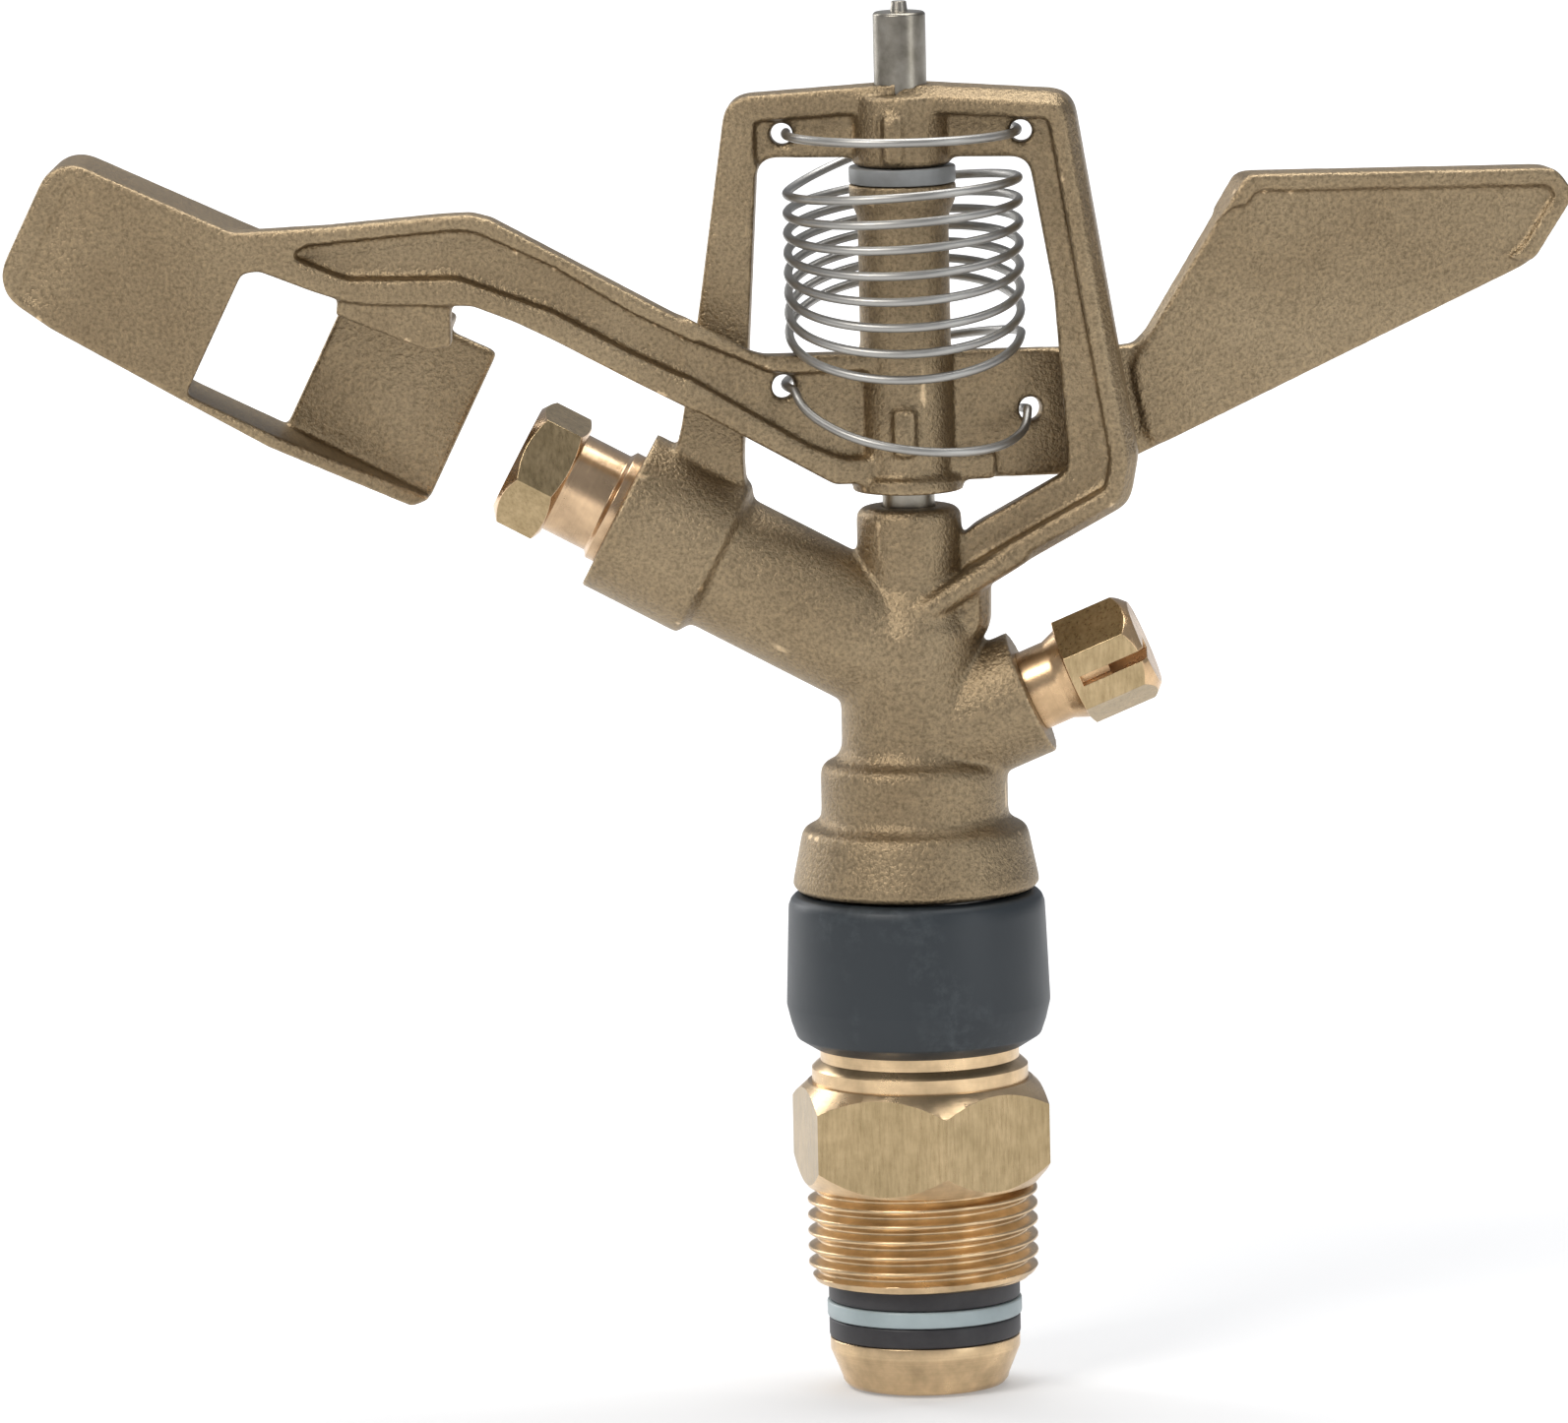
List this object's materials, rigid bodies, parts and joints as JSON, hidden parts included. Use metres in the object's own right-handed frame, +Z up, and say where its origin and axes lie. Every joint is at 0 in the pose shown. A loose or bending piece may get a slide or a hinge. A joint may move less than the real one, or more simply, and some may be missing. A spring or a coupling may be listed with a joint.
{
  "type": "impact sprinkler",
  "caption": "Cast bronze impact sprinkler: male-threaded inlet, turning body with angled main nozzle and rear spreader nozzle, spring-loaded swing arm with spoon and counterweight.",
  "frame": {"origin": "on the turning axis, at the underside of the inlet hexagon, where the inlet thread begins", "axes": "+Z up along the turning axis, -X towards the main nozzle, -Y towards the side the arm swings out to"},
  "size_m": [0.1781, 0.0388, 0.1594],
  "materials": {
    "cast_bronze": "satin cast, grainy",
    "machined_brass": "turned, satin",
    "shaft_steel": "turned steel",
    "spring_steel": "drawn wire",
    "sleeve_plastic": "satin moulded",
    "thrust_plastic": "satin moulded",
    "washer_plastic": "satin moulded",
    "seal_rubber": "matt rubber"
  },
  "bodies": {
    "inlet": {"bearing_nipple": "machined_brass", "upper_seal_ring": "seal_rubber", "dust_sleeve": "sleeve_plastic", "lower_spring_washer": "washer_plastic"},
    "rotor": {"bearing_tube": "machined_brass", "lower_seal_ring": "seal_rubber", "thrust_ring": "thrust_plastic", "tube_gasket": "seal_rubber", "bearing_spring": "spring_steel", "upper_spring_washer": "washer_plastic", "body_casting": "cast_bronze", "jet_straightener": "thrust_plastic", "main_nozzle": "machined_brass", "spreader_nozzle": "machined_brass", "arm_shaft": "shaft_steel", "arm_washer": "washer_plastic"},
    "arm": {"swing_arm": "cast_bronze", "upper_arm_bush": "washer_plastic", "lower_arm_bush": "washer_plastic", "arm_spring": "spring_steel"}
  },
  "joints": [
    {"name": "body_spin", "type": "hinge", "parent": "inlet", "child": "rotor", "pos_m": [0, 0, 0], "axis": [0, 0, 1], "continuous": true},
    {"name": "arm_swing", "type": "hinge", "parent": "rotor", "child": "arm", "pos_m": [0, 0, 0.098], "axis": [0, 0, 1], "range_deg": [0, 120], "stiffness_Nm_per_rad": 0.02, "springref_deg": -57.3, "deforming": ["arm_spring"]}
  ]
}
